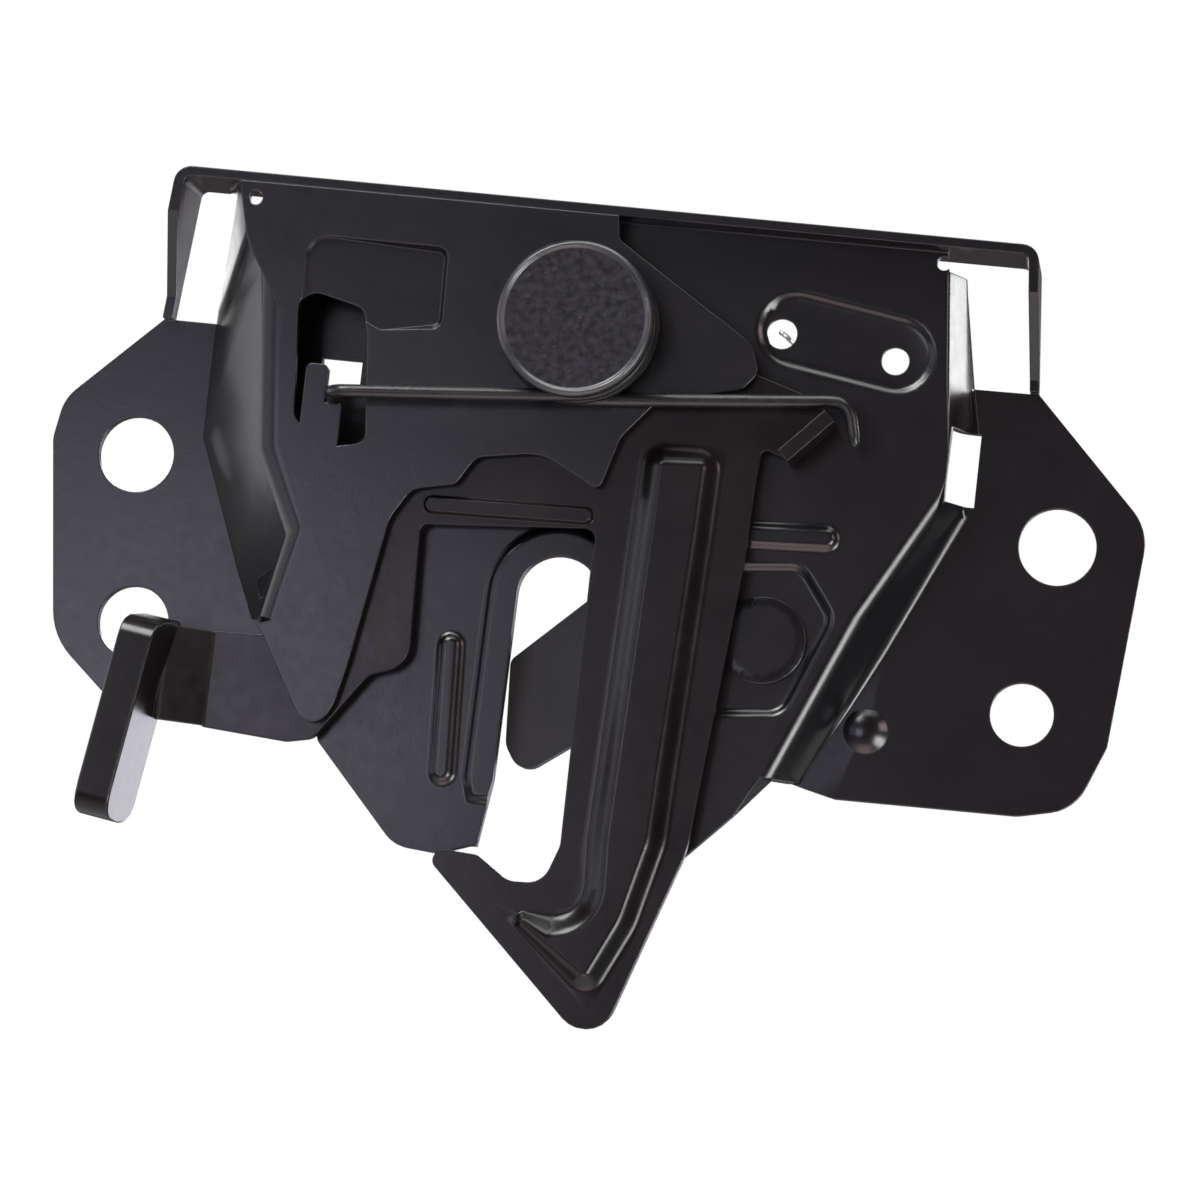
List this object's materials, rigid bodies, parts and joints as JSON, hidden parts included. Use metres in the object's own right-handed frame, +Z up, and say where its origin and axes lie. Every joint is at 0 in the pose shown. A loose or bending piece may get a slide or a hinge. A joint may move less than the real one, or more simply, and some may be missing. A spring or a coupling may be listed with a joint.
{
  "type": "bonnet latch",
  "caption": "Black pressed-steel bonnet latch: winged mounting plate with a striker slot, rotary catch and pawl behind it, and a spring-loaded safety hook with a finger tab.",
  "frame": {"origin": "midway between the two upper mounting holes, on the rear face of the wings, which bolts to the panel", "axes": "+X to the right across the wings as seen from the hook's side, +Y rearwards into the panel along the bolts, +Z up from the slot to the rim"},
  "size_m": [0.1896, 0.0302, 0.1389],
  "materials": {
    "coat": "satin black electro-coat",
    "steel": "black phosphate",
    "zinc": "dull zinc"
  },
  "bodies": {
    "base": {"base_plate": "coat", "front_plate": "coat", "pivot_stud": "steel", "lever_bush": "zinc", "lever_washer": "zinc", "lever_spring": "steel", "catch_rivet": "steel", "catch_washer": "zinc", "catch_spring": "zinc", "pawl_pin": "steel", "pawl_washer": "zinc", "pawl_spring": "zinc"},
    "lever": {"safety_lever": "coat"},
    "catch": {"catch": "steel"},
    "pawl": {"pawl": "steel"}
  },
  "joints": [
    {"name": "lever_pivot", "type": "hinge", "parent": "base", "child": "lever", "pos_m": [-0.0032, -0.013, 0.0275], "axis": [0, -1, 0], "range_deg": [0, 13], "deforming": ["lever_spring"]},
    {"name": "catch_pivot", "type": "hinge", "parent": "base", "child": "catch", "pos_m": [0.0325, -0.003, -0.0216], "axis": [0, 1, 0], "range_deg": [0, 48], "deforming": ["catch_spring"]},
    {"name": "pawl_pivot", "type": "hinge", "parent": "base", "child": "pawl", "pos_m": [0.05, -0.004, 0.004], "axis": [0, 1, 0], "range_deg": [0, 14], "deforming": ["pawl_spring"]}
  ]
}
